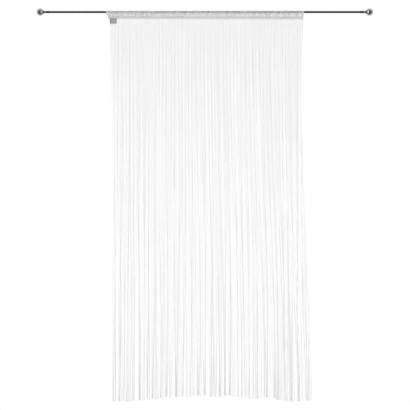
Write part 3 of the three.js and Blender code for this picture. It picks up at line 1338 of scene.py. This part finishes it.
    def string_point(self, index: int, x: float, row: LayRow) -> Vector:
        """Finds the middle of a string at one height.

        Args:
            index: The string's number, from the left.
            x: Its place across the curtain there, in millimetres.
            row: The lay at that height.

        Returns:
            The point in millimetres.
        """
        unevenness = self.row_unevenness * (Chance.LANE.of(index) - 0.5)
        lane = index % len(Row) - Row.MIDDLE.value + unevenness
        share = (x - row.left) / (row.right - row.left)
        billow = sum(
            depth * math.sin(TAU * (waves * share + turn_rate * row.drop))
            for depth, waves, turn_rate in self.billows
        )
        settled = mix(self.hang.wave(x), billow, row.drop)
        root = self.root + self.hang.lift(x)
        end = self.hem_height(x) + self.cut(index)
        return Vector((x, settled + lane * row.apart, mix(root, end, row.drop)))

    def build(self) -> list[bpy.types.Object]:
        """Makes the strings, one piece for each row in depth.

        Returns:
            The three pieces.
        """
        drifts = self.drifts()
        rows = [self.lay_at(i / (self.points - 1)) for i in range(self.points)]
        places = [self.places(row, drifts) for row in rows]
        turns = (self.top - self.longest_foot) / self.twist_length
        finish = TwistedYarn(turns).material()
        pieces = []
        for lane in Row:
            curve = bpy.data.curves.new(f"strings_{lane.name.lower()}", "CURVE")
            curve.dimensions = "3D"
            curve.bevel_depth = self.radius * MM
            curve.bevel_resolution = 2
            curve.use_fill_caps = True
            for index in range(lane.value, len(drifts), len(Row)):
                points = [self.string_point(index, at[index], row) for at, row in zip(places, rows)]
                self.add_string(curve, points)
            pieces.append(self.to_piece(curve, finish))
        return pieces

    def add_string(self, curve: bpy.types.Curve, points: list[Vector]) -> None:
        """Adds one string to a curve, from inside the strip to its cut end.

        Args:
            curve: The curve that takes it.
            points: Its middle line below the strip, in millimetres.
        """
        inside = points[0] + Vector((0, 0, self.top - self.root))
        tip = points[-1]
        down = (tip - points[-2]).normalized()
        line = [inside, *points[:-1], tip - self.end_length * down, tip - self.tip_length * down, tip]
        radii = [1.0] * (len(line) - 2) + [self.end_swell, self.tip_swell]
        spline = curve.splines.new("POLY")
        spline.points.add(len(line) - 1)
        for spot, point, radius in zip(spline.points, line, radii):
            spot.co = (*(point * MM), 1)
            spot.radius = radius

    def to_piece(self, curve: bpy.types.Curve, material: bpy.types.Material) -> bpy.types.Object:
        """Turns a row of strings into a mesh with closed ends.

        Args:
            curve: The row of strings.
            material: Their finish.

        Returns:
            The piece.
        """
        holder = bpy.data.objects.new(curve.name, curve)
        bpy.context.scene.collection.objects.link(holder)
        depsgraph = bpy.context.evaluated_depsgraph_get()
        mesh = bpy.data.meshes.new_from_object(holder.evaluated_get(depsgraph), depsgraph=depsgraph)
        name = curve.name
        bpy.data.objects.remove(holder)
        bpy.data.curves.remove(curve)
        bm = bmesh.new()
        bm.from_mesh(mesh)
        bmesh.ops.remove_doubles(bm, verts=bm.verts, dist=self.merge * MM)
        bm.to_mesh(mesh)
        bm.free()
        piece = finish_mesh(mesh, name, material)
        return join_to_root(piece, "white_string", "string_fringe")


# The label


@dataclass
class SewnLabel:
    """A bare grey ribbon sewn to the strip at its left end, curling forward at its foot."""

    hang: TapeHang
    left: float = -485.6
    width: float = 35.6
    top: float = -30.9
    length: float = 29.8
    stand: float = 2.3
    curl: float = 2.4
    thickness: float = 0.6
    side_curl: float = 1.6
    curled_share: float = 0.25
    cells: tuple[int, int] = (24, 22)
    stitches: int = 12
    stitch_down: float = 2.0
    stitch_stand: float = 0.5
    thread: float = 0.45

    def place(self, across: float, down: float) -> Vector:
        """Hangs a point of the flat ribbon.

        Args:
            across: Its distance from the left edge, in millimetres.
            down: Its distance from the top edge, in millimetres.

        Returns:
            Its place in millimetres.
        """
        x = self.left + across
        hang = smooth(down / self.length)
        edge = max(1 - across / (self.curled_share * self.width), 0)
        back = self.side_curl * edge**2 * hang
        return Vector((x, self.hang.wave(x) - self.stand - self.curl * hang + back, self.top - down))

    def build(self) -> tuple[bpy.types.Object, bpy.types.Object]:
        """Makes the ribbon and the stitches along its top.

        Returns:
            The ribbon and the stitches.
        """
        finish = LabelSatin().material()
        ribbon = cloth(
            "label_ribbon", (self.width, self.length), self.cells, self.place, self.thickness, finish
        )
        join_to_root(ribbon, "label_satin", "sewn_label")
        off = Vector((0, -self.stitch_stand, 0))
        holes = [self.width * i / self.stitches for i in range(self.stitches + 1)]
        row = [self.place(across, self.stitch_down) + off for across in holes]
        thread = SewingThread("polyester_label_thread").material()
        stitches = stitched("label_stitches", [row], self.thread, thread)
        join_to_root(stitches, "label_satin")
        return ribbon, stitches


# The studio


@dataclass(frozen=True)
class Lamp:
    """A studio lamp: where it hangs, how large it is, in metres, and its power in watts.

    A sun lights evenly from its side and has no size, and its power is in watts a square metre.
    """

    name: str
    place: tuple[float, float, float]
    width: float
    height: float
    power: float
    kind: LampKind = LampKind.SOFT_BOX


@dataclass
class Studio:
    """A white room with a white floor and soft lamps, and a camera straight in front.

    Its sizes and places are in metres, but for the lens, in millimetres. Metal mirrors a room that
    goes from dim to light along mirrored_way, between two reaches.
    """

    finials: list[bpy.types.Object]
    sheer: bpy.types.Object
    lens: float = 85.0
    distance: float = 4.9526
    eye_x: float = 0.0008
    eye_z: float = -0.9871
    floor_z: float = -2.03
    floor_size: float = 16.0
    room_light: float = 0.88
    mirrored_front: float = 0.14
    mirrored_rear: float = 0.95
    mirrored_way: tuple[float, float, float] = (0, 0.94, 0.34)
    mirrored_reaches: tuple[float, float] = (-0.9, 0.3)
    soft_lamps: tuple[Lamp, ...] = (
        Lamp("soft_lamp_left", (-0.7, -1.0, -1.1), 0.9, 1.5, 5.2),
        Lamp("soft_lamp_right", (0.7, -1.0, -1.1), 0.9, 1.5, 5.2),
    )
    glint: Lamp = Lamp("glint_lamp", (0, -1.0, 0.02), 0.3, 1.5, 6.0)
    raking: Lamp = Lamp("raking_sun", (2.2, -0.75, 0.25), 0, 0, 2.0, LampKind.SUN)

    def build(self) -> None:
        """Makes the floor, the lamps, the room's light and the camera."""
        self.floor()
        for lamp in self.soft_lamps:
            self.hang_lamp(lamp, self.eye_z).visible_glossy = False
        self.light_only(self.hang_lamp(self.glint, 0.0), self.finials)
        self.light_only(self.hang_lamp(self.raking, 0.0), [self.sheer])
        self.room()
        self.camera()

    def floor(self) -> None:
        """Lays the floor below the hem."""
        bm = bmesh.new()
        bmesh.ops.create_grid(
            bm,
            x_segments=4,
            y_segments=4,
            size=self.floor_size / 2,
            matrix=Matrix.Translation((0, 0, self.floor_z)),
        )
        floor = from_bmesh(bm, "studio_floor", StudioFloor().material())
        floor.visible_diffuse = False
        floor.visible_glossy = False

    def hang_lamp(self, lamp: Lamp, look_z: float) -> bpy.types.Object:
        """Hangs a lamp that looks at the curtain's middle, at one height.

        Args:
            lamp: The lamp.
            look_z: The height it looks at, in metres.

        Returns:
            The lamp's object.
        """
        light = bpy.data.lights.new(lamp.name, lamp.kind.value)
        light.energy = lamp.power
        if lamp.kind is LampKind.SOFT_BOX:
            light.shape = "RECTANGLE"
            light.size = lamp.width
            light.size_y = lamp.height
        holder = bpy.data.objects.new(lamp.name, light)
        holder.location = lamp.place
        look = Vector((0, 0, look_z)) - Vector(lamp.place)
        holder.rotation_euler = look.to_track_quat("-Z", "Y").to_euler()
        holder.visible_camera = False
        bpy.context.scene.collection.objects.link(holder)
        return holder

    def light_only(self, lamp: bpy.types.Object, pieces: list[bpy.types.Object]) -> None:
        """Keeps a lamp's light to some pieces.

        Args:
            lamp: The lamp's object.
            pieces: What it lights.
        """
        lit = bpy.data.collections.new(f"lit_by_{lamp.name}")
        for piece in pieces:
            lit.objects.link(piece)
        lamp.light_linking.receiver_collection = lit

    def room(self) -> None:
        """Lights the room: white to look at, soft on cloth, and dim in front in the metal."""
        world = bpy.data.worlds.new("white_room")
        world.use_nodes = True
        tree = world.node_tree
        tree.nodes.clear()
        ray = add_node(tree, "ShaderNodeLightPath")
        way = add_node(tree, "ShaderNodeTexCoord").outputs["Generated"]
        lighter = {0: way, 1: self.mirrored_way}
        lightness = add_node(tree, "ShaderNodeVectorMath", lighter, operation="DOT_PRODUCT")
        shade = {
            "Value": lightness,
            "From Min": self.mirrored_reaches[0],
            "From Max": self.mirrored_reaches[1],
            "To Min": self.mirrored_front,
            "To Max": self.mirrored_rear,
        }
        mirrored = add_node(tree, "ShaderNodeMapRange", shade, interpolation_type="SMOOTHSTEP")
        glossy = ray.outputs["Is Glossy Ray"]
        lit = add_node(tree, "ShaderNodeMix", {"Factor": glossy, "A": self.room_light, "B": mirrored})
        seen = ray.outputs["Is Camera Ray"]
        strength = add_node(tree, "ShaderNodeMix", {"Factor": seen, "A": lit, "B": 1.0})
        light = {"Color": linear("#ffffff"), "Strength": strength}
        light = add_node(tree, "ShaderNodeBackground", light)
        add_node(tree, "ShaderNodeOutputWorld", {"Surface": light})
        bpy.context.scene.world = world
        bpy.context.scene.view_settings.view_transform = "Standard"

    def camera(self) -> None:
        """Stands the camera level, in front of the middle of the curtain."""
        data = bpy.data.cameras.new("studio_camera")
        data.lens = self.lens
        data.clip_end = 100
        camera = bpy.data.objects.new("studio_camera", data)
        camera.location = (self.eye_x, -self.distance, self.eye_z)
        camera.rotation_euler = (math.radians(90), 0, 0)
        bpy.context.scene.collection.objects.link(camera)
        bpy.context.scene.camera = camera


def main() -> None:
    """Builds the curtain from the rod down, and then the studio around it."""
    logging.basicConfig(level=logging.INFO, format="%(name)s: %(message)s")
    hang = TapeHang()
    tube, *finials = CurtainRod().build()
    rod_pocket = RodPocket(hang)
    pocket, pocket_stitches = rod_pocket.build()
    strip = StringStrip(hang).build()
    strings = StringFringe(hang).build()
    sewn_label = SewnLabel(hang)
    label, label_stitches = sewn_label.build()

    width, length = rod_pocket.cut()
    for piece in (tube, *finials, pocket, pocket_stitches, strip, *strings, label, label_stitches):
        LOG.info("%s has %d faces", piece.name, len(piece.data.polygons))
    Studio(finials, pocket).build()


if __name__ == "__main__":
    main()
